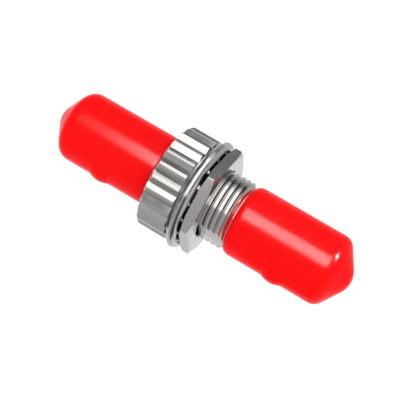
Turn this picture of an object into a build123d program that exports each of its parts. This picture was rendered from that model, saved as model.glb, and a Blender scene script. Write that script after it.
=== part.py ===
from build123d import *
import os
from math import cos, pi, radians, sin, tan

# Bulkhead ST fibre adapter with its lock washer, hex nut and two vinyl dust caps.
# The axis lies along X. X = 0 is the face of the flange that seats on the panel, and the nut's side is +X.
# The flat of the threaded neck faces -Y, the key slots of the barrels face +Z. All sizes are in millimetres.

# Barrels: the two bayonet sockets that the plugs lock on
barrel_d = 7.92
barrel_bore_d = 6.10
plug_depth = 9.00
core_bore_d = 5.70
front_barrel_len = 10.0
rear_barrel_len = 10.0
barrel_edge = 0.30
bore_edge = 0.25
lug_d = 1.80
lug_height = 0.36
lug_edge = 0.08
lug_setback = 7.35
key_slot_w = 1.20
key_slot_len = 4.50

# Flange with its V knurl
flange_d = 14.20
flange_len = 4.82
flange_edge = 0.25
seat_boss_len = 0.66
seat_boss_d = 12.90
seat_d = 12.40
knurl_count = 24
knurl_depth = 0.60
knurl_flank = 38.0
knurl_phase = 85.2

# Threaded neck, shown here at its major diameter
thread_d = 9.525
thread_len = 5.72
thread_chamfer_len = 0.50
neck_d = 8.40
neck_land = 0.08
flat_distance = 4.12

# Rear barrel's spigot, pressed into the flange
spigot_d = 8.60

# Sleeve and the two bushes that hold it
ferrule_d = 2.50
sleeve_wall = 0.35
sleeve_len = 11.40
sleeve_slit = 0.35
sleeve_edge = 0.12
sleeve_clearance = 0.05
sleeve_end_play = 0.05
bush_flange_d = 6.80
bush_flange_len = 1.60
bush_tube_wall = 0.65
bush_lip_len = 0.60
bush_lip_clearance = 0.20
bush_funnel = 0.40

# Lock washer with inner teeth
washer_overhang = 0.095
washer_ring_w = 1.00
washer_len = 1.05
washer_front_round = 0.75
washer_back_chamfer = 0.20
washer_thread_clearance = 0.10
tooth_count = 18
tooth_w = 1.30
tooth_t = 0.60
tooth_twist = 30.0
tooth_proud = 0.25
tooth_root = 0.15

# Hex nut
nut_across_flats = 13.0
nut_len = 1.41
nut_face_d = 13.5
nut_chamfer_angle = 20.0
nut_corner_round = 0.12
nut_bore_edge = 0.12
nut_thread_clearance = 0.05

# Dust caps
cap_d = 9.62
cap_len = 16.06
cap_grip_clearance = 0.03
cap_end_wall = 1.00
cap_lip_len = 1.05
cap_lip_d = 8.60
cap_bore_edge = 0.12
nose_half_angle = 57.7
nose_shoulder_r = 1.80
nose_tip_r = 3.00
bump_height = 0.42
bump_half_len = 1.50
bump_blend = 0.90
lug_groove_side = 0.10
lug_groove_depth = 0.05

# Gap between faces that rest on each other but move apart
seat_gap = 0.02

# Radii and places that follow from the sizes above
barrel_r = barrel_d / 2
barrel_bore_r = barrel_bore_d / 2
lug_top_r = barrel_r + lug_height
thread_r = thread_d / 2
front_shoulder_x = thread_len + thread_chamfer_len + neck_land
front_end_x = front_shoulder_x + front_barrel_len
rear_shoulder_x = -flange_len
rear_end_x = rear_shoulder_x - rear_barrel_len
middle_x = (front_end_x + rear_end_x) / 2
bush_seat_x = middle_x + bush_flange_len
spigot_end_x = middle_x - bush_flange_len
sleeve_r = ferrule_d / 2 + sleeve_wall
bush_bore_r = sleeve_r + sleeve_clearance
bush_tube_r = bush_bore_r + bush_tube_wall
nut_corner_r = nut_across_flats / 2 / cos(pi / 6)
washer_r = nut_corner_r + washer_overhang
tooth_reach = (tooth_w * sin(radians(tooth_twist)) + tooth_t * cos(radians(tooth_twist))) / 2
nut_back_x = seat_gap + washer_len + tooth_proud + seat_gap
tooth_x = nut_back_x - seat_gap - tooth_reach

os.makedirs("parts", exist_ok=True)


# Solid of revolution about the adapter's axis, from points given as (x, radius)
def turned(points, mode=Mode.ADD):
    with BuildSketch(Plane.XY) as section:
        with BuildLine():
            Polyline(*points, close=True)
        make_face()
    revolve(section.sketch, axis=Axis.X, mode=mode)


# Two bayonet lugs, opposite each other on a barrel
def bayonet_lugs(lug_x):
    inside_wall_r = (barrel_r + barrel_bore_r) / 2
    for side in (-1, 1):
        with BuildSketch(Plane((lug_x, side * inside_wall_r, 0), x_dir=(1, 0, 0), z_dir=(0, side, 0))) as lug:
            Circle(lug_d / 2)
        extrude(lug.sketch, amount=lug_top_r - inside_wall_r)
        top_edge = edges().filter_by(GeomType.CIRCLE).sort_by_distance((lug_x, side * lug_top_r, 0))[0]
        chamfer(top_edge, length=lug_edge)


# Key slot through the barrel's upper wall, open at the barrel's mouth
def key_slot(end_x):
    with BuildSketch(Plane.XY) as slot:
        with Locations((end_x, 0)):
            SlotOverall(2 * key_slot_len, key_slot_w)
    extrude(slot.sketch, amount=lug_top_r, mode=Mode.SUBTRACT)


# Housing: knurled flange with its seat boss, threaded neck with its flat, and front barrel
with BuildPart() as housing:
    turned([
        (rear_shoulder_x, spigot_d / 2),
        (rear_shoulder_x, flange_d / 2 - flange_edge),
        (rear_shoulder_x + flange_edge, flange_d / 2),
        (-seat_boss_len, flange_d / 2),
        (-seat_boss_len, seat_boss_d / 2),
        (0, seat_d / 2),
        (0, thread_r),
        (thread_len, thread_r),
        (thread_len + thread_chamfer_len, neck_d / 2),
        (front_shoulder_x, neck_d / 2),
        (front_shoulder_x, barrel_r),
        (front_end_x - barrel_edge, barrel_r),
        (front_end_x, barrel_r - barrel_edge),
        (front_end_x, barrel_bore_r + bore_edge),
        (front_end_x - bore_edge, barrel_bore_r),
        (front_end_x - plug_depth, barrel_bore_r),
        (front_end_x - plug_depth, core_bore_d / 2),
        (bush_seat_x, core_bore_d / 2),
        (bush_seat_x, bush_flange_d / 2),
        (spigot_end_x, bush_flange_d / 2),
        (spigot_end_x, spigot_d / 2),
    ])
    # V grooves between the crests of the knurl
    groove_top_r = flange_d / 2 + knurl_depth
    groove_bottom_r = flange_d / 2 - knurl_depth
    groove_half_w = (groove_top_r - groove_bottom_r) / tan(radians(knurl_flank))
    with BuildSketch(Plane.YZ.offset(rear_shoulder_x)):
        with PolarLocations(0, knurl_count, start_angle=knurl_phase + 180 / knurl_count):
            Polygon(
                (groove_bottom_r, 0),
                (groove_top_r, -groove_half_w),
                (groove_top_r, groove_half_w),
                align=None,
            )
    extrude(amount=flange_len, mode=Mode.SUBTRACT)
    # Flat along the threaded neck
    with BuildSketch(Plane.YZ):
        with Locations((-flat_distance, 0)):
            Rectangle(thread_r, thread_d, align=(Align.MAX, Align.CENTER))
    extrude(amount=front_shoulder_x, mode=Mode.SUBTRACT)
    bayonet_lugs(front_shoulder_x + lug_setback)
    key_slot(front_end_x)
housing.part.label = "housing"
export_step(housing.part, "parts/housing.step")

# Rear barrel, with the spigot that is pressed into the flange
with BuildPart() as rear_barrel:
    turned([
        (rear_end_x + plug_depth, barrel_bore_r),
        (rear_end_x + plug_depth, core_bore_d / 2),
        (spigot_end_x, core_bore_d / 2),
        (spigot_end_x, spigot_d / 2),
        (rear_shoulder_x, spigot_d / 2),
        (rear_shoulder_x, barrel_r),
        (rear_end_x + barrel_edge, barrel_r),
        (rear_end_x, barrel_r - barrel_edge),
        (rear_end_x, barrel_bore_r + bore_edge),
        (rear_end_x + bore_edge, barrel_bore_r),
    ])
    bayonet_lugs(rear_shoulder_x - lug_setback)
    key_slot(rear_end_x)
rear_barrel.part.label = "rear_barrel"
export_step(rear_barrel.part, "parts/rear_barrel.step")


# Stepped bush that holds one half of the sleeve. side is 1 towards the nut and -1 towards the flange.
def sleeve_bush(side):
    pocket_len = sleeve_len / 2 + sleeve_end_play
    tube_end = pocket_len + bush_lip_len
    lip_r = ferrule_d / 2 + bush_lip_clearance
    outline = [
        (0, bush_bore_r),
        (0, bush_flange_d / 2),
        (bush_flange_len, bush_flange_d / 2),
        (bush_flange_len, bush_tube_r),
        (tube_end, bush_tube_r),
        (tube_end, lip_r + bush_funnel),
        (tube_end - bush_funnel, lip_r),
        (pocket_len, lip_r),
        (pocket_len, bush_bore_r),
    ]
    turned([(middle_x + side * along, radius) for along, radius in outline])


with BuildPart() as front_sleeve_holder:
    sleeve_bush(1)
front_sleeve_holder.part.label = "front_sleeve_holder"
export_step(front_sleeve_holder.part, "parts/front_sleeve_holder.step")

with BuildPart() as rear_sleeve_holder:
    sleeve_bush(-1)
rear_sleeve_holder.part.label = "rear_sleeve_holder"
export_step(rear_sleeve_holder.part, "parts/rear_sleeve_holder.step")

# Split ceramic sleeve that lines up the two ferrules
with BuildPart() as alignment_sleeve:
    sleeve_back_x = middle_x - sleeve_len / 2
    sleeve_front_x = middle_x + sleeve_len / 2
    turned([
        (sleeve_back_x, ferrule_d / 2),
        (sleeve_back_x, sleeve_r - sleeve_edge),
        (sleeve_back_x + sleeve_edge, sleeve_r),
        (sleeve_front_x - sleeve_edge, sleeve_r),
        (sleeve_front_x, sleeve_r - sleeve_edge),
        (sleeve_front_x, ferrule_d / 2),
    ])
    with BuildSketch(Plane.XY):
        with Locations((middle_x, 0)):
            Rectangle(sleeve_len + 2 * sleeve_edge, sleeve_slit)
    extrude(amount=-2 * sleeve_r, mode=Mode.SUBTRACT)
alignment_sleeve.part.label = "alignment_sleeve"
export_step(alignment_sleeve.part, "parts/alignment_sleeve.step")

# Lock washer: a ring with a rounded rim, and twisted teeth that reach in to the thread
with BuildPart() as lock_washer:
    ring_inner_r = washer_r - washer_ring_w
    with BuildSketch(Plane.XY) as ring_section:
        with Locations((seat_gap, ring_inner_r)):
            Rectangle(washer_len, washer_ring_w, align=(Align.MIN, Align.MIN))
        back_rim = ring_section.vertices().group_by(Axis.Y)[-1].sort_by(Axis.X)[0]
        chamfer(back_rim, length=washer_back_chamfer)
        front_rim = ring_section.vertices().group_by(Axis.Y)[-1].sort_by(Axis.X)[-1]
        fillet(front_rim, radius=washer_front_round)
    revolve(axis=Axis.X)
    tooth_tip_r = thread_r + washer_thread_clearance
    tooth_root_r = ring_inner_r + tooth_root
    twist = radians(tooth_twist)
    for index in range(tooth_count):
        turn = 2 * pi * index / tooth_count
        outwards = Vector(0, cos(turn), sin(turn))
        sideways = Vector(0, -sin(turn), cos(turn))
        blade = Plane(
            outwards * tooth_root_r + Vector(tooth_x, 0, 0),
            x_dir=sideways * cos(twist) + Vector(sin(twist), 0, 0),
            z_dir=-outwards,
        )
        with BuildSketch(blade):
            Rectangle(tooth_w, tooth_t)
        extrude(amount=tooth_root_r - tooth_tip_r)
lock_washer.part.label = "lock_washer"
export_step(lock_washer.part, "parts/lock_washer.step")

# Thin hex nut, chamfered on both faces, with a corner at the top
with BuildPart() as hex_nut:
    nut_front_x = nut_back_x + nut_len
    beyond_corner_r = nut_corner_r + nut_len / 2
    chamfer_run = (beyond_corner_r - nut_face_d / 2) * tan(radians(nut_chamfer_angle))
    with BuildSketch(Plane.YZ.offset(nut_back_x)) as hexagon:
        RegularPolygon(nut_corner_r, 6, rotation=90)
        fillet(hexagon.vertices(), radius=nut_corner_round)
    extrude(amount=nut_len)
    turned([
        (nut_back_x, 0),
        (nut_back_x, nut_face_d / 2),
        (nut_back_x + chamfer_run, beyond_corner_r),
        (nut_front_x - chamfer_run, beyond_corner_r),
        (nut_front_x, nut_face_d / 2),
        (nut_front_x, 0),
    ], mode=Mode.INTERSECT)
    nut_bore_r = thread_r + nut_thread_clearance
    turned([
        (nut_back_x, 0),
        (nut_back_x, nut_bore_r + nut_bore_edge),
        (nut_back_x + nut_bore_edge, nut_bore_r),
        (nut_front_x - nut_bore_edge, nut_bore_r),
        (nut_front_x, nut_bore_r + nut_bore_edge),
        (nut_front_x, 0),
    ], mode=Mode.SUBTRACT)
hex_nut.part.label = "hex_nut"
export_step(hex_nut.part, "parts/hex_nut.step")


# Dust cap with a blunt conical nose, drawn from its mouth at mouth_x. side is 1 when its nose points to +X.
def dust_cap(mouth_x, side, lug_x):
    cap_r = cap_d / 2
    inner_r = barrel_r + cap_grip_clearance
    slope = radians(nose_half_angle)
    sharp_tip = cap_len - nose_tip_r + nose_tip_r / sin(slope)
    nose_start = sharp_tip - cap_r / tan(slope)
    tip_centre = cap_len - nose_tip_r
    cone_end = (tip_centre + nose_tip_r * sin(slope), nose_tip_r * cos(slope))
    half_turn = pi / 4 - slope / 2
    tip_side = (tip_centre + nose_tip_r * cos(half_turn), nose_tip_r * sin(half_turn))
    lengthwise = Plane((mouth_x, 0, 0), x_dir=(side, 0, 0), z_dir=(0, 0, side))
    # Outside, with its rounded lip, its cone and its blunt tip
    with BuildSketch(lengthwise) as outside:
        with BuildLine():
            TangentArc((cap_lip_len, cap_r), (0, cap_lip_d / 2), tangent=(-1, 0))
            Polyline((cap_lip_len, cap_r), (nose_start, cap_r), cone_end)
            ThreePointArc(cone_end, tip_side, (cap_len, 0))
            Polyline((cap_len, 0), (0, 0), (0, cap_lip_d / 2))
        make_face()
        shoulder = outside.vertices().sort_by_distance((nose_start, cap_r))[0]
        fillet(shoulder, radius=nose_shoulder_r)
    revolve(outside.sketch, axis=Axis.X)
    # Soft bump over the lower lug
    bump_r = (bump_half_len ** 2 + bump_height ** 2) / (2 * bump_height)
    with Locations((lug_x, bump_r - cap_r - bump_height, 0)):
        Sphere(bump_r)
    rim = edges().sort_by_distance((lug_x, -cap_r - bump_height, 0))[0]
    fillet(rim, radius=bump_blend)
    # Bore and hollow nose
    inner_tip = cap_len - cap_end_wall
    with BuildSketch(lengthwise) as inside:
        with BuildLine():
            Polyline(
                (0, 0),
                (0, inner_r + cap_bore_edge),
                (cap_bore_edge, inner_r),
                (inner_tip - inner_r / tan(slope), inner_r),
                (inner_tip, 0),
                close=True,
            )
        make_face()
    revolve(inside.sketch, axis=Axis.X, mode=Mode.SUBTRACT)
    # Two grooves that let the lugs slide in
    groove_len = abs(lug_x - mouth_x) + lug_d / 2 + lug_groove_side
    with BuildSketch(Plane((mouth_x, 0, 0), x_dir=(side, 0, 0), z_dir=(0, 1, 0))) as groove:
        SlotOverall(2 * groove_len, lug_d + 2 * lug_groove_side)
    extrude(groove.sketch, amount=lug_top_r + lug_groove_depth, both=True, mode=Mode.SUBTRACT)


with BuildPart() as front_cap:
    dust_cap(front_shoulder_x + seat_gap, 1, front_shoulder_x + lug_setback)
front_cap.part.label = "front_cap"
export_step(front_cap.part, "parts/front_cap.step")

with BuildPart() as rear_cap:
    dust_cap(rear_shoulder_x - seat_gap, -1, rear_shoulder_x - lug_setback)
rear_cap.part.label = "rear_cap"
export_step(rear_cap.part, "parts/rear_cap.step")
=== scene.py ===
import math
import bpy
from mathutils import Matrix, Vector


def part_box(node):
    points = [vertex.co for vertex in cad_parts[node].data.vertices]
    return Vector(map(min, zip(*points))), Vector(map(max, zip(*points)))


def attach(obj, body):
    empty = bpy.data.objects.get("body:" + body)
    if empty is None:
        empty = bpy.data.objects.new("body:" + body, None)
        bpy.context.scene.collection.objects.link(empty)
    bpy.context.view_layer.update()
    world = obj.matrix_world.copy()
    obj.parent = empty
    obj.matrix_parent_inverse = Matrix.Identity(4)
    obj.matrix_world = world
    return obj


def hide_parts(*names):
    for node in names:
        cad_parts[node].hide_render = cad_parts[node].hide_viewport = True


bl_info = {
    "name": "Bulkhead Fibre Adapter",
    "version": (1, 0, 0),
    "blender": (4, 5, 0),
    "location": "3D Viewport > Sidebar > Fibre Adapter",
    "description": "Finishes a bayonet fibre adapter with its thread, lock washer, hex nut and vinyl dust caps",
    "category": "Add Mesh",
}

import bmesh
import bpy
from bpy.props import FloatProperty, FloatVectorProperty, IntProperty, PointerProperty
from mathutils import Matrix, Vector

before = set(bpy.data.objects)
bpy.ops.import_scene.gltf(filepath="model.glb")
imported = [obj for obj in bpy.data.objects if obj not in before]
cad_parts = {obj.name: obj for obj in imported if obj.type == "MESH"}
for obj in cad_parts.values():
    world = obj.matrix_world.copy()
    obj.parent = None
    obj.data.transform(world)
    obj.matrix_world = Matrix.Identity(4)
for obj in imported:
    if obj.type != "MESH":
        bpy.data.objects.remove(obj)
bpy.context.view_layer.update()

MM = 0.001
# Corners of the solids' loose triangles closer than this are one corner
MERGE_DISTANCE = 0.0005 * MM
# Faces that meet at less than this angle belong to one smooth surface
SMOOTH_ANGLE = math.radians(30)
# The photograph's frame is square, so one size sets its lens
PHOTO_PIXELS = 400
WHITE = "#FFFFFF"

# The neck's cutter stands this far out of its crests, so that no skin is left over a groove
NECK_CUTTER_REACH = 0.15 * MM
# The nut's cutter stands this far out of its own crests
NUT_CUTTER_REACH = 0.2 * MM
# The solid nut's bore clears the neck's crests by this much
NUT_BORE_GAP = 0.05 * MM
# The lining of the nut's bore begins this deep in the nut's metal, so that the two join
LINING_BITE = 0.1 * MM
# The lining is this much shorter than the nut, at its crests and at its roots, which leaves a chamfer at each
# end of the bore
LINING_SHORT_AT_CRESTS = 0.62 * MM
LINING_SHORT_AT_ROOTS = 0.28 * MM
# Turns of the nut's cutter before the neck's first groove under the nut. The half turn sets it over a crest
NUT_CUTTER_LEAD = 2.5
# Turns of the nut's cutter that are more than the nut is long, so that its ends stay outside
NUT_CUTTER_SPARE = 3

# Width of the cloudier and clearer patches of a bright metal surface
METAL_PATCH = 2.5 * MM
# The patches' noise seldom leaves these two values
PATCH_LOW, PATCH_HIGH = 0.3, 0.7
# A patch's roughness as a share of the metal's own, where it is clearest and where it is cloudiest
CLEAREST, CLOUDIEST = 0.85, 1.2
# Width of the slow changes in the vinyl's depth of colour
VINYL_PATCH = 1.6 * MM
# The vinyl's colour where it is deepest, as a share of the full colour
DEEPEST = 0.94
# Width of one cell of the vinyl's orange peel, and the depth between the cells
PEEL_WIDTH = 0.35 * MM
PEEL_DEPTH = 0.002 * MM
# Width of the ceramic's grinding patches. The real ones are finer, and are drawn as coarse as it takes to show
GRINDING_WIDTH = 0.2 * MM

# Half the side of the square floor, in metres
FLOOR_HALF = 2.0
# One flat facet of a curved studio card covers this many degrees
CARD_FACET = 5
# How bright the strip and the spot are in a second reflection, as a share of the first
SECOND_SHARE = 0.1
# The soft lamp's width, and its distance from the object, in metres
LAMP_WIDTH = 0.3
LAMP_DISTANCE = 0.4
# How far the lamp leans from the nearest side towards the top of the picture
LAMP_LEAN = 0.6
# Nearest distance that the camera shows, in metres
CAMERA_NEAR = 0.005


def linear(hex_colour):
    """Turn an sRGB hex colour into a linear RGBA colour."""
    parts = [int(hex_colour[i:i + 2], 16) / 255 for i in (1, 3, 5)]
    return tuple(p / 12.92 if p <= 0.04045 else ((p + 0.055) / 1.055) ** 2.4 for p in parts) + (1.0,)


def length(name, description, millimetres, digits=3):
    """A size of the object, given in millimetres and kept in metres."""
    return FloatProperty(
        name=name,
        description=description,
        default=millimetres * MM,
        min=0.0,
        precision=digits + 3,
        unit="LENGTH",
    )


def colour(name, description, hex_colour):
    """A colour that the user can change."""
    return FloatVectorProperty(
        name=name,
        description=description,
        subtype="COLOR",
        size=4,
        min=0.0,
        max=1.0,
        default=linear(hex_colour),
    )


def angle(name, description, degrees):
    """An angle, given in degrees."""
    return FloatProperty(name=name, description=description, subtype="ANGLE", default=math.radians(degrees))


class AdapterSizes(bpy.types.PropertyGroup):
    """Sizes of the details that the finish adds."""

    pitch: length("Thread pitch", "Distance from one crest of the thread to the next", 0.79375, 5)
    crest_radius: length("Crest radius", "Radius of the neck over its crests", 4.7625, 4)
    thread_depth: length("Thread depth", "Depth of the grooves under the crests", 0.30)
    root_width: length("Root width", "Width of the flat at the bottom of a groove", 0.06)
    flank_angle: angle("Flank angle", "Angle between a flank and the plane across the axis", 30)
    thread_start: length("Thread start", "Where the first groove leaves the flange's face", 0.45)
    thread_end: length("Thread end", "Where the last groove has run out over the end chamfer", 6.6)
    nut_minor_radius: length("Nut's minor radius", "Radius inside the nut's own crests", 4.49)
    thread_clearance: length("Thread clearance", "Gap between the flanks of nut and neck", 0.035)
    thread_steps: IntProperty(name="Steps a turn", description="Straight steps in one turn", default=96, min=12)


class AdapterColours(bpy.types.PropertyGroup):
    """Colours of the object's finishes."""

    vinyl: colour("Red vinyl", "Dip-moulded soft vinyl of the dust caps", "#FE0C10")
    nickel: colour("Nickel plate", "Bright nickel on the housing and barrels", "#D3D1CE")
    nut_nickel: colour("Nut's nickel plate", "Bright nickel on the hex nut", "#D3D2D0")
    spring_steel: colour("Plated spring steel", "Zinc-bright steel of the lock washer", "#D2D2D3")
    brass: colour("Turned brass", "Bushes that hold the sleeve", "#C9A35B")
    zirconia: colour("Zirconia", "White ceramic of the split sleeve", "#F1EFE8")


class StageSettings(bpy.types.PropertyGroup):
    """Where the camera stands, and what lights the object."""

    tilt: angle("Tilt", "Turn of the view about the adapter's axis, away from upright", 18)
    swing: angle("Swing", "Turn of the view towards the nut's side", 12.3)
    roll: angle("Roll", "Slope of the axis in the picture", 30.4)
    distance: length("Distance", "From the camera to the object", 150)
    scale: FloatProperty(name="Scale", description="Pixels of the photograph for one millimetre", default=7.85)
    aim_along: FloatProperty(name="Aim along", description="Aimed point along the axis", default=0.63 * MM)
    aim_across: FloatProperty(name="Aim across", description="Aimed point across the axis", default=-0.573 * MM)
    floor_drop: length("Floor drop", "How far the floor lies below the axis", 60)
    card_radius: length("Card radius", "Distance of the studio cards from the axis", 40)
    card_reach: length("Card reach", "Half the length of the studio cards", 260)
    streak_radius: length("Streak radius", "Distance of the strip and spot lights from the axis", 110)
    surround: FloatProperty(name="Surround", description="Strength of the white surround", default=1.0)
    lamp: FloatProperty(name="Lamp", description="Power of the soft overhead lamp", default=0.1)


def sizes():
    """The sizes that the user can change."""
    return bpy.context.scene.adapter_sizes


def colours():
    """The colours that the user can change."""
    return bpy.context.scene.adapter_colours


def add_node(tree, kind, inputs=None, **settings):
    """Add one node to a tree, set its properties, and fill or link its inputs."""
    node = tree.nodes.new(kind)
    for name, value in settings.items():
        setattr(node, name, value)
    for name, value in (inputs or {}).items():
        if isinstance(value, bpy.types.NodeSocket):
            tree.links.new(value, node.inputs[name])
        else:
            node.inputs[name].default_value = value
    return node


def new_material(name):
    """An empty node material, with its shader and its output joined. Returns material, tree and shader."""
    material = bpy.data.materials.new(name)
    material.use_nodes = True
    tree = material.node_tree
    tree.nodes.clear()
    shader = add_node(tree, "ShaderNodeBsdfPrincipled")
    add_node(tree, "ShaderNodeOutputMaterial", {"Surface": shader.outputs["BSDF"]})
    return material, tree, shader


def turned_place(tree, spacing):
    """A number that rises by one for each tool mark: along the axis on a barrel, outwards on an end face."""
    place = add_node(tree, "ShaderNodeTexCoord")
    parts = add_node(tree, "ShaderNodeSeparateXYZ", {"Vector": place.outputs["Object"]})
    across = add_node(tree, "ShaderNodeCombineXYZ", {"Y": parts.outputs["Y"], "Z": parts.outputs["Z"]})
    radius = add_node(tree, "ShaderNodeVectorMath", {"Vector": across.outputs["Vector"]}, operation="LENGTH")
    along = add_node(
        tree, "ShaderNodeMath", {0: parts.outputs["X"], 1: radius.outputs["Value"]}, operation="ADD"
    )
    return add_node(
        tree, "ShaderNodeMath", {0: along.outputs["Value"], 1: spacing}, operation="DIVIDE"
    ).outputs["Value"]


def bright_metal(name, tint, roughness, mark_spacing, mark_depth):
    """Bright metal, plated or bare, over the marks of the tool that shaped it.

    To the eye it is a slightly soft mirror, whose reflections are drawn out across the fine rings that the tool
    left, and which is a little cloudier in patches a few millimetres wide.
    """
    material, tree, shader = new_material(name)
    shader.inputs["Base Color"].default_value = tint
    shader.inputs["Metallic"].default_value = 1.0
    rings = add_node(
        tree,
        "ShaderNodeTexNoise",
        {"W": turned_place(tree, mark_spacing), "Scale": 1.0, "Detail": 3.0, "Roughness": 0.6},
        noise_dimensions="1D",
    )
    place = add_node(tree, "ShaderNodeTexCoord")
    clouds = add_node(
        tree,
        "ShaderNodeTexNoise",
        {"Vector": place.outputs["Object"], "Scale": 1 / METAL_PATCH, "Detail": 4.0},
    )
    rough = add_node(
        tree,
        "ShaderNodeMapRange",
        {
            "Value": clouds.outputs["Fac"],
            "From Min": PATCH_LOW,
            "From Max": PATCH_HIGH,
            "To Min": roughness * CLEAREST,
            "To Max": roughness * CLOUDIEST,
        },
    )
    tree.links.new(rough.outputs["Result"], shader.inputs["Roughness"])
    bump = add_node(
        tree,
        "ShaderNodeBump",
        {"Height": rings.outputs["Fac"], "Strength": 0.5, "Distance": mark_depth},
    )
    tree.links.new(bump.outputs["Normal"], shader.inputs["Normal"])
    return material


def red_vinyl():
    """Dip-moulded soft vinyl.

    To the eye it is an even, strong red that mirrors almost nothing of what stands round it, with a soft-edged
    streak under a bright lamp and a very slight orange peel.
    """
    material, tree, shader = new_material("Dip-moulded vinyl")
    place = add_node(tree, "ShaderNodeTexCoord")
    waves = add_node(
        tree,
        "ShaderNodeTexNoise",
        {"Vector": place.outputs["Object"], "Scale": 1 / VINYL_PATCH, "Detail": 2.0},
    )
    tint = colours().vinyl
    deeper = [part * DEEPEST for part in tint[:3]] + [1.0]
    mix = add_node(
        tree,
        "ShaderNodeMix",
        {"Factor": waves.outputs["Fac"], "A": deeper, "B": tint},
        data_type="RGBA",
    )
    tree.links.new(mix.outputs["Result"], shader.inputs["Base Color"])
    shader.inputs["Roughness"].default_value = 0.2
    shader.inputs["Specular IOR Level"].default_value = 0.06
    peel = add_node(
        tree,
        "ShaderNodeTexNoise",
        {"Vector": place.outputs["Object"], "Scale": 1 / PEEL_WIDTH, "Detail": 3.0},
    )
    bump = add_node(
        tree,
        "ShaderNodeBump",
        {"Height": peel.outputs["Fac"], "Strength": 0.25, "Distance": PEEL_DEPTH},
    )
    tree.links.new(bump.outputs["Normal"], shader.inputs["Normal"])
    return material


def ground_zirconia():
    """Ground zirconia.

    To the eye it is a dense, opaque white with nearly a gloss, glossier than other whites because it bends
    light so strongly, and a little duller where the grinding wheel cut coarser.
    """
    material, tree, shader = new_material("Ground zirconia")
    shader.inputs["Base Color"].default_value = colours().zirconia
    shader.inputs["IOR"].default_value = 2.1
    place = add_node(tree, "ShaderNodeTexCoord")
    grain = add_node(
        tree,
        "ShaderNodeTexNoise",
        {"Vector": place.outputs["Object"], "Scale": 1 / GRINDING_WIDTH, "Detail": 2.0},
    )
    rough = add_node(
        tree, "ShaderNodeMapRange", {"Value": grain.outputs["Fac"], "To Min": 0.1, "To Max": 0.22}
    )
    tree.links.new(rough.outputs["Result"], shader.inputs["Roughness"])
    return material


def dress(node_name, material):
    """Give a solid that is shown as it is its finish."""
    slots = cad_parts[node_name].data.materials
    slots.clear()
    slots.append(material)


def merged_copy(node_name, piece_name):
    """A closed copy of a solid's mesh, with its loose triangles joined and the ones without area removed."""
    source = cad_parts[node_name].data
    mesh = bpy.data.meshes.new(piece_name)
    mesh.from_pydata([v.co for v in source.vertices], [], [list(p.vertices) for p in source.polygons])
    shape = bmesh.new()
    shape.from_mesh(mesh)
    bmesh.ops.remove_doubles(shape, verts=shape.verts, dist=MERGE_DISTANCE)
    bmesh.ops.dissolve_degenerate(shape, edges=shape.edges, dist=MERGE_DISTANCE / 10)
    shape.to_mesh(mesh)
    shape.free()
    piece = bpy.data.objects.new(piece_name, mesh)
    bpy.context.scene.collection.objects.link(piece)
    return piece


def section_sizes(tree, inner_radius, outer_radius):
    """The height of a ring's section, and the radius of its middle."""
    height = add_node(tree, "ShaderNodeMath", {0: outer_radius, 1: inner_radius}, operation="SUBTRACT")
    both = add_node(tree, "ShaderNodeMath", {0: inner_radius, 1: outer_radius}, operation="ADD")
    middle = add_node(tree, "ShaderNodeMath", {0: both.outputs["Value"], 1: 0.5}, operation="MULTIPLY")
    return height.outputs["Value"], middle.outputs["Value"]


def swept_ring(tree, path, height, inner_width, outer_width, along):
    """Sweep a trapezoid along a path that goes round Z, turn it to go round X, and move it along X."""
    section = add_node(
        tree,
        "GeometryNodeCurvePrimitiveQuadrilateral",
        {"Height": height, "Top Width": inner_width, "Bottom Width": outer_width, "Offset": 0.0},
        mode="TRAPEZOID",
    )
    section = add_node(
        tree,
        "GeometryNodeTransform",
        {"Geometry": section.outputs["Curve"], "Rotation": (0, 0, math.pi / 2)},
    )
    upright = add_node(tree, "GeometryNodeSetCurveNormal", {"Curve": path}, mode="Z_UP")
    solid = add_node(
        tree,
        "GeometryNodeCurveToMesh",
        {
            "Curve": upright.outputs["Curve"],
            "Profile Curve": section.outputs["Geometry"],
            "Fill Caps": True,
        },
    )
    turned = add_node(
        tree,
        "GeometryNodeTransform",
        {"Geometry": solid.outputs["Mesh"], "Rotation": (0, math.pi / 2, 0)},
    )
    place = add_node(tree, "ShaderNodeCombineXYZ", {"X": along})
    return add_node(
        tree,
        "GeometryNodeTransform",
        {"Geometry": turned.outputs["Geometry"], "Translation": place.outputs["Vector"]},
    ).outputs["Geometry"]


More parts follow.
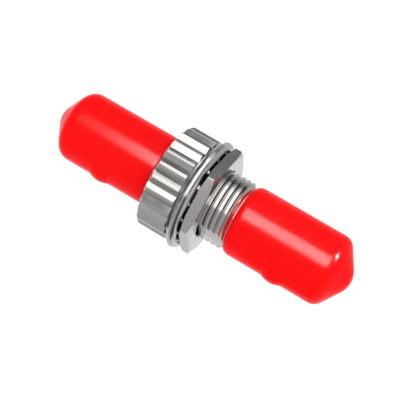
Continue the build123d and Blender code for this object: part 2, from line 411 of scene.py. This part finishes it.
def thread_tree():
    """A node group that cuts a helical groove into a mesh, and can first line the mesh's bore with a ring."""
    tree = bpy.data.node_groups.new("Thread", "GeometryNodeTree")
    sockets = {}
    tree.interface.new_socket("Mesh", in_out="OUTPUT", socket_type="NodeSocketGeometry")
    tree.interface.new_socket("Mesh", in_out="INPUT", socket_type="NodeSocketGeometry")
    for name, kind in (
        ("Pitch", "NodeSocketFloat"),
        ("Turns", "NodeSocketFloat"),
        ("Steps", "NodeSocketInt"),
        ("Inner radius", "NodeSocketFloat"),
        ("Outer radius", "NodeSocketFloat"),
        ("Inner width", "NodeSocketFloat"),
        ("Outer width", "NodeSocketFloat"),
        ("Start", "NodeSocketFloat"),
        ("Line the bore", "NodeSocketBool"),
        ("Lining inner radius", "NodeSocketFloat"),
        ("Lining outer radius", "NodeSocketFloat"),
        ("Lining inner width", "NodeSocketFloat"),
        ("Lining outer width", "NodeSocketFloat"),
        ("Lining middle", "NodeSocketFloat"),
        ("Finish", "NodeSocketMaterial"),
    ):
        sockets[name] = tree.interface.new_socket(name, in_out="INPUT", socket_type=kind).identifier
    given = add_node(tree, "NodeGroupInput").outputs

    height, middle = section_sizes(tree, given["Inner radius"], given["Outer radius"])
    helix_length = add_node(
        tree, "ShaderNodeMath", {0: given["Pitch"], 1: given["Turns"]}, operation="MULTIPLY"
    )
    helix = add_node(
        tree,
        "GeometryNodeCurveSpiral",
        {
            "Resolution": given["Steps"],
            "Rotations": given["Turns"],
            "Start Radius": middle,
            "End Radius": middle,
            "Height": helix_length.outputs["Value"],
            "Reverse": True,
        },
    )
    groove = swept_ring(
        tree, helix.outputs["Curve"], height, given["Inner width"], given["Outer width"], given["Start"]
    )

    height, middle = section_sizes(tree, given["Lining inner radius"], given["Lining outer radius"])
    circle = add_node(
        tree, "GeometryNodeCurvePrimitiveCircle", {"Resolution": given["Steps"], "Radius": middle}
    )
    lining = swept_ring(
        tree,
        circle.outputs["Curve"],
        height,
        given["Lining inner width"],
        given["Lining outer width"],
        given["Lining middle"],
    )
    lined = add_node(tree, "GeometryNodeMeshBoolean", operation="UNION", solver="EXACT")
    tree.links.new(given["Mesh"], lined.inputs["Mesh 2"])
    tree.links.new(lining, lined.inputs["Mesh 2"])
    blank = add_node(
        tree,
        "GeometryNodeSwitch",
        {"Switch": given["Line the bore"], "False": given["Mesh"], "True": lined.outputs["Mesh"]},
        input_type="GEOMETRY",
    )
    cut = add_node(
        tree,
        "GeometryNodeMeshBoolean",
        {"Mesh 1": blank.outputs["Output"], "Mesh 2": groove},
        operation="DIFFERENCE",
        solver="EXACT",
    )
    joined = add_node(
        tree, "GeometryNodeMergeByDistance", {"Geometry": cut.outputs["Mesh"], "Distance": MERGE_DISTANCE}
    )
    real = add_node(tree, "GeometryNodeRealizeInstances", {"Geometry": joined.outputs["Geometry"]})
    finished = add_node(
        tree, "GeometryNodeSetMaterial", {"Geometry": real.outputs["Geometry"], "Material": given["Finish"]}
    )
    add_node(tree, "NodeGroupOutput", {"Mesh": finished.outputs["Geometry"]})
    return tree, sockets


def run_nodes(piece, tree, sockets, values):
    """Run a node group on a piece and keep its result as a plain mesh."""
    modifier = piece.modifiers.new(tree.name, "NODES")
    modifier.node_group = tree
    for name, value in values.items():
        modifier[sockets[name]] = value
    bake(piece)


def bake(piece):
    """Turn a piece's modifiers into a plain mesh, with its edges sharp where its surfaces meet."""
    graph = bpy.context.evaluated_depsgraph_get()
    mesh = bpy.data.meshes.new_from_object(piece.evaluated_get(graph))
    piece.modifiers.clear()
    piece.data = mesh
    mesh.shade_smooth()
    mesh.set_sharp_from_angle(angle=SMOOTH_ANGLE)


def finish_piece(piece, body, node_name):
    """Seat a finished piece on its body, in place of its plain solid."""
    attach(piece, body)
    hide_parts(node_name)


class ADAPTER_OT_housing(bpy.types.Operator):
    """Cut the thread into the neck, and plate the knurled flange and both barrels."""

    bl_idname = "adapter.housing"
    bl_label = "Housing and Barrels"

    def execute(self, context):
        size = sizes()
        # Bright nickel over turned brass gives the eye a warm white mirror with rings too fine to count
        nickel = bright_metal(
            "Nickel plate on turned brass",
            colours().nickel,
            roughness=0.16,
            mark_spacing=0.05 * MM,
            mark_depth=0.0008 * MM,
        )
        dress("rear_barrel", nickel)
        housing = merged_copy("housing", "threaded_housing")
        slope = math.tan(size.flank_angle)
        tree, sockets = thread_tree()
        run_nodes(housing, tree, sockets, {
            "Pitch": size.pitch,
            "Turns": (size.thread_end - size.thread_start) / size.pitch,
            "Steps": size.thread_steps,
            "Inner radius": size.crest_radius - size.thread_depth,
            "Outer radius": size.crest_radius + NECK_CUTTER_REACH,
            "Inner width": size.root_width,
            "Outer width": size.root_width + 2 * slope * (size.thread_depth + NECK_CUTTER_REACH),
            "Start": size.thread_start,
            "Finish": nickel,
        })
        finish_piece(housing, "adapter", "housing")
        return {"FINISHED"}


class ADAPTER_OT_sleeve(bpy.types.Operator):
    """Finish the brass bushes and the ceramic sleeve inside the adapter."""

    bl_idname = "adapter.sleeve"
    bl_label = "Sleeve and Bushes"

    def execute(self, context):
        # Bare turned brass gives the eye a deep yellow, duller than the plate, with rings that catch the light
        brass = bright_metal(
            "Turned brass",
            colours().brass,
            roughness=0.24,
            mark_spacing=0.06 * MM,
            mark_depth=0.0015 * MM,
        )
        for node_name in ("front_sleeve_holder", "rear_sleeve_holder"):
            dress(node_name, brass)
        dress("alignment_sleeve", ground_zirconia())
        return {"FINISHED"}


class ADAPTER_OT_washer(bpy.types.Operator):
    """Finish the lock washer."""

    bl_idname = "adapter.washer"
    bl_label = "Lock Washer"

    def execute(self, context):
        # Zinc over blanked spring steel gives the eye a cool grey-white, softer than the nickel beside it
        steel = bright_metal(
            "Zinc-bright spring steel",
            colours().spring_steel,
            roughness=0.2,
            mark_spacing=0.09 * MM,
            mark_depth=0.0012 * MM,
        )
        dress("lock_washer", steel)
        return {"FINISHED"}


class ADAPTER_OT_nut(bpy.types.Operator):
    """Thread the hex nut to match the neck, and plate it."""

    bl_idname = "adapter.nut"
    bl_label = "Hex Nut"

    def execute(self, context):
        size = sizes()
        # Bright nickel over a milled hex gives the eye flats that each mirror one plain tone
        nickel = bright_metal(
            "Nickel plate on milled hex",
            colours().nut_nickel,
            roughness=0.17,
            mark_spacing=0.08 * MM,
            mark_depth=0.001 * MM,
        )
        nut = merged_copy("hex_nut", "threaded_nut")
        low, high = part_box("hex_nut")
        nut_length = high.x - low.x
        slope = math.tan(size.flank_angle)
        # The nut's groove lies over the neck's crest, half a pitch from the neck's groove, and wraps it
        crest_width = size.pitch - size.root_width - 2 * slope * size.thread_depth
        gap = 2 * size.thread_clearance
        inner_width = crest_width + 2 * slope * (size.crest_radius - size.nut_minor_radius) + gap
        bore_radius = size.crest_radius + NUT_BORE_GAP
        outer_width = crest_width - 2 * slope * (bore_radius - size.crest_radius) + gap
        turns_before = math.ceil((low.x - size.thread_start) / size.pitch) - NUT_CUTTER_LEAD
        tree, sockets = thread_tree()
        run_nodes(nut, tree, sockets, {
            "Pitch": size.pitch,
            "Turns": float(math.ceil(nut_length / size.pitch) + NUT_CUTTER_SPARE),
            "Steps": size.thread_steps,
            "Inner radius": size.nut_minor_radius - NUT_CUTTER_REACH,
            "Outer radius": bore_radius,
            "Inner width": inner_width + 2 * slope * NUT_CUTTER_REACH,
            "Outer width": outer_width,
            "Start": size.thread_start + turns_before * size.pitch,
            "Line the bore": True,
            "Lining inner radius": size.nut_minor_radius,
            "Lining outer radius": bore_radius + LINING_BITE,
            "Lining inner width": nut_length - LINING_SHORT_AT_CRESTS,
            "Lining outer width": nut_length - LINING_SHORT_AT_ROOTS,
            "Lining middle": (low.x + high.x) / 2,
            "Finish": nickel,
        })
        finish_piece(nut, "nut", "hex_nut")
        return {"FINISHED"}


class ADAPTER_OT_caps(bpy.types.Operator):
    """Finish both vinyl dust caps."""

    bl_idname = "adapter.caps"
    bl_label = "Dust Caps"

    def execute(self, context):
        vinyl = red_vinyl()
        for node_name in ("front_cap", "rear_cap"):
            dress(node_name, vinyl)
        return {"FINISHED"}


def side_axes(stage):
    """Two unit vectors square to the adapter's axis: to its side nearest the camera, and up past it."""
    nearest = Vector((0, -math.sin(stage.tilt), math.cos(stage.tilt)))
    across = Vector((0, math.cos(stage.tilt), math.sin(stage.tilt)))
    return nearest, across


def card_light(name, strengths, fade=None):
    """The white glow of a studio card.

    Its strengths are those in a first, a second and any later reflection, so that gaps stay dark.
    A fade is the span of X over which the glow rises from nothing.
    """
    material = bpy.data.materials.new(name)
    material.use_nodes = True
    tree = material.node_tree
    tree.nodes.clear()
    depth = add_node(tree, "ShaderNodeLightPath").outputs["Glossy Depth"]
    power = strengths[0]
    for reflection in (1, 2):
        power = add_node(
            tree,
            "ShaderNodeMapRange",
            {
                "Value": depth,
                "From Min": float(reflection),
                "From Max": reflection + 1.0,
                "To Min": power,
                "To Max": strengths[reflection],
            },
        ).outputs["Result"]
    if fade:
        place = add_node(tree, "ShaderNodeTexCoord")
        parts = add_node(tree, "ShaderNodeSeparateXYZ", {"Vector": place.outputs["Object"]})
        rise = add_node(
            tree,
            "ShaderNodeMapRange",
            {"Value": parts.outputs["X"], "From Min": fade[0], "From Max": fade[1]},
        )
        power = add_node(
            tree, "ShaderNodeMath", {0: power, 1: rise.outputs["Result"]}, operation="MULTIPLY"
        ).outputs["Value"]
    glow = add_node(tree, "ShaderNodeEmission", {"Color": linear(WHITE), "Strength": power})
    add_node(tree, "ShaderNodeOutputMaterial", {"Surface": glow.outputs["Emission"]})
    return material


def studio_card(name, material, stage, first_degrees, last_degrees, x_from, x_to, radius):
    """A curved card round the adapter's axis, seen only in reflections. Angles run from the nearest side up."""
    nearest, across = side_axes(stage)
    steps = max(2, round(abs(last_degrees - first_degrees) / CARD_FACET))
    shape = bmesh.new()
    pairs = []
    for step in range(steps + 1):
        turn = math.radians(first_degrees + (last_degrees - first_degrees) * step / steps)
        out = radius * (math.cos(turn) * nearest + math.sin(turn) * across)
        pairs.append([shape.verts.new(out + Vector((x, 0, 0))) for x in (x_from, x_to)])
    for (a, b), (c, d) in zip(pairs, pairs[1:]):
        shape.faces.new((a, b, d, c))
    mesh = bpy.data.meshes.new(name)
    shape.to_mesh(mesh)
    shape.free()
    mesh.materials.append(material)
    card = bpy.data.objects.new(name, mesh)
    bpy.context.scene.collection.objects.link(card)
    card.visible_camera = False
    card.visible_diffuse = False
    card.visible_transmission = False
    card.visible_shadow = False
    return card


class ADAPTER_OT_stage(bpy.types.Operator):
    """Set the pale floor, the white surround, the studio cards, the soft lamp and the camera."""

    bl_idname = "adapter.stage"
    bl_label = "Stage and Camera"

    def execute(self, context):
        scene = context.scene
        stage = scene.adapter_stage
        scene.view_settings.view_transform = "Standard"
        self.surround(scene, stage)
        self.floor(stage)
        self.cards(stage)
        self.lamp(scene, stage)
        self.camera(scene, stage)
        return {"FINISHED"}

    def surround(self, scene, stage):
        world = bpy.data.worlds.new("White surround")
        scene.world = world
        world.use_nodes = True
        tree = world.node_tree
        tree.nodes.clear()
        glow = add_node(
            tree, "ShaderNodeBackground", {"Color": linear(WHITE), "Strength": stage.surround}
        )
        add_node(tree, "ShaderNodeOutputWorld", {"Surface": glow.outputs["Background"]})

    def floor(self, stage):
        mesh = bpy.data.meshes.new("studio_floor")
        corners = [(x * FLOOR_HALF, y * FLOOR_HALF) for x, y in ((-1, -1), (1, -1), (1, 1), (-1, 1))]
        mesh.from_pydata([(x, y, -stage.floor_drop) for x, y in corners], [], [(0, 1, 2, 3)])
        # Matt white paper gives the eye no mirror of the object, only its soft shadow
        material, _, shader = new_material("White paper sweep")
        shader.inputs["Base Color"].default_value = linear(WHITE)
        shader.inputs["Roughness"].default_value = 1.0
        shader.inputs["Specular IOR Level"].default_value = 0.0
        mesh.materials.append(material)
        floor = bpy.data.objects.new("studio_floor", mesh)
        bpy.context.scene.collection.objects.link(floor)

    def cards(self, stage):
        reach = stage.card_reach
        # Where along X one card ends and the next begins
        left, knurl, gap, right, far_right = (x * MM for x in (-24, -7.6, 4, 15, 34))
        # The plain light and dark surfaces that the metal mirrors. Each has its strengths in a first, a second
        # and any later reflection, its first and last angle in degrees, and its span of X
        for name, strengths, first, last, x_from, x_to in (
            ("under_card", (0.46, 0.46, 0.46), -104, -15, -reach, gap),
            ("knurl_card_1", (1.7, 0.25, 0.25), -15, 3.5, left, knurl),
            ("slot_card", (0.15, 0.02, 0.02), 3.5, 12.5, left, knurl),
            ("knurl_card_2", (1.7, 0.25, 0.25), 12.5, 43, left, knurl),
            ("flag_card", (0.2, 0.03, 0.03), 43, 56.5, left, knurl),
            ("knurl_card_3", (1.9, 0.28, 0.28), 56.5, 67, left, knurl),
            ("thread_low_card", (0.46, 0.46, 0.46), -15, -11.5, knurl, right),
            ("thread_card", (1.5, 1.5, 0.22), -11.5, 66, knurl, right),
            ("thread_high_card", (0.7, 0.7, 0.1), 66, 83, knurl, right),
            ("nut_dark_card", (0.2, 0.2, 0.03), 83, 98, knurl, right),
            ("thread_top_card", (0.35, 0.35, 0.05), 98, 119, knurl, right),
            ("dark_card", (0.2, 0.03, 0.03), 67, 119, -reach, knurl),
            ("high_card", (0.6, 0.6, 0.09), 119, 160, -reach, right),
            ("left_card", (0.3, 0.05, 0.05), -11.5, 66, -reach, left),
            ("gap_card", (0.1, 0.1, 0.02), -11.5, 66, right, far_right),
            ("gap_low_card", (0.08, 0.46, 0.07), -119, -15, gap, far_right),
            ("right_card", (0.55, 0.55, 0.08), -11.5, 66, far_right, reach),
            ("right_low_card", (0.5, 0.5, 0.08), -104, -15, far_right, reach),
            ("right_high_card", (0.5, 0.5, 0.08), 66, 160, right, reach),
            ("back_low_card", (0.7, 0.7, 0.1), -146, -104, -reach, gap),
            ("back_right_card", (0.7, 0.7, 0.1), -146, -119, gap, reach),
            ("back_card", (0.85, 0.85, 0.13), -200, -146, -reach, reach),
        ):
            material = card_light(name, strengths)
            material.cycles.emission_sampling = "NONE"
            studio_card(name, material, stage, first, last, x_from, x_to, stage.card_radius)
        # The strip and the spot light only the vinyl, so that the plating keeps its plain card reflections
        both_caps, front_cap = ("front_cap", "rear_cap"), ("front_cap",)
        strip_from, strip_full, strip_to, spot_from, spot_to = (x * MM for x in (-44, -35, 58, 82, 145))
        for name, strength, fade, first, last, x_from, x_to, caps in (
            ("strip_light", 64.0, (strip_from, strip_full), 5, 35, strip_from, strip_to, both_caps),
            ("spot_light", 520.0, None, 52, 61, spot_from, spot_to, front_cap),
        ):
            material = card_light(name, (strength, SECOND_SHARE * strength, 0.0), fade)
            light = studio_card(name, material, stage, first, last, x_from, x_to, stage.streak_radius)
            lit = bpy.data.collections.new("Lit by " + name)
            for node_name in caps:
                lit.objects.link(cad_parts[node_name])
            light.light_linking.receiver_collection = lit

    def lamp(self, scene, stage):
        nearest, across = side_axes(stage)
        light = bpy.data.lights.new("soft_lamp", "AREA")
        light.shape = "DISK"
        light.size = LAMP_WIDTH
        light.energy = stage.lamp
        lamp = bpy.data.objects.new("soft_lamp", light)
        scene.collection.objects.link(lamp)
        place = LAMP_DISTANCE * (nearest + LAMP_LEAN * across).normalized()
        lamp.matrix_world = Matrix.Translation(place) @ place.to_track_quat("Z", "Y").to_matrix().to_4x4()
        lamp.visible_glossy = False

    def camera(self, scene, stage):
        nearest, across = side_axes(stage)
        along = Vector((1, 0, 0))
        towards = math.sin(stage.swing) * along + math.cos(stage.swing) * nearest
        level = math.cos(stage.swing) * along - math.sin(stage.swing) * nearest
        right = math.cos(stage.roll) * level + math.sin(stage.roll) * across
        up = math.cos(stage.roll) * across - math.sin(stage.roll) * level
        aim = Vector((stage.aim_along, 0, 0)) + stage.aim_across * across
        data = bpy.data.cameras.new("photo_camera")
        data.lens = data.sensor_width * stage.scale * (stage.distance / MM) / PHOTO_PIXELS
        data.clip_start = CAMERA_NEAR
        camera = bpy.data.objects.new("photo_camera", data)
        scene.collection.objects.link(camera)
        turn = Matrix((right, up, towards)).transposed().to_4x4()
        camera.matrix_world = Matrix.Translation(aim + stage.distance * towards) @ turn
        scene.camera = camera


class ADAPTER_PT_panel(bpy.types.Panel):
    """The adapter's sizes, colours and steps."""

    bl_idname = "ADAPTER_PT_panel"
    bl_label = "Fibre Adapter"
    bl_space_type = "VIEW_3D"
    bl_region_type = "UI"
    bl_category = "Fibre Adapter"

    def draw(self, context):
        scene = context.scene
        for group in (scene.adapter_sizes, scene.adapter_colours, scene.adapter_stage):
            box = self.layout.box()
            for name in group.__annotations__:
                box.prop(group, name)
        for operator in OPERATORS:
            self.layout.operator(operator.bl_idname)


OPERATORS = (
    ADAPTER_OT_housing,
    ADAPTER_OT_sleeve,
    ADAPTER_OT_washer,
    ADAPTER_OT_nut,
    ADAPTER_OT_caps,
    ADAPTER_OT_stage,
)
CLASSES = (AdapterSizes, AdapterColours, StageSettings, *OPERATORS, ADAPTER_PT_panel)


def register():
    for cls in CLASSES:
        bpy.utils.register_class(cls)
    bpy.types.Scene.adapter_sizes = PointerProperty(type=AdapterSizes)
    bpy.types.Scene.adapter_colours = PointerProperty(type=AdapterColours)
    bpy.types.Scene.adapter_stage = PointerProperty(type=StageSettings)


def unregister():
    del bpy.types.Scene.adapter_stage
    del bpy.types.Scene.adapter_colours
    del bpy.types.Scene.adapter_sizes
    for cls in reversed(CLASSES):
        bpy.utils.unregister_class(cls)


def main():
    register()
    bpy.ops.adapter.housing()
    bpy.ops.adapter.sleeve()
    bpy.ops.adapter.washer()
    bpy.ops.adapter.nut()
    bpy.ops.adapter.caps()
    bpy.ops.adapter.stage()


if __name__ == "__main__":
    main()
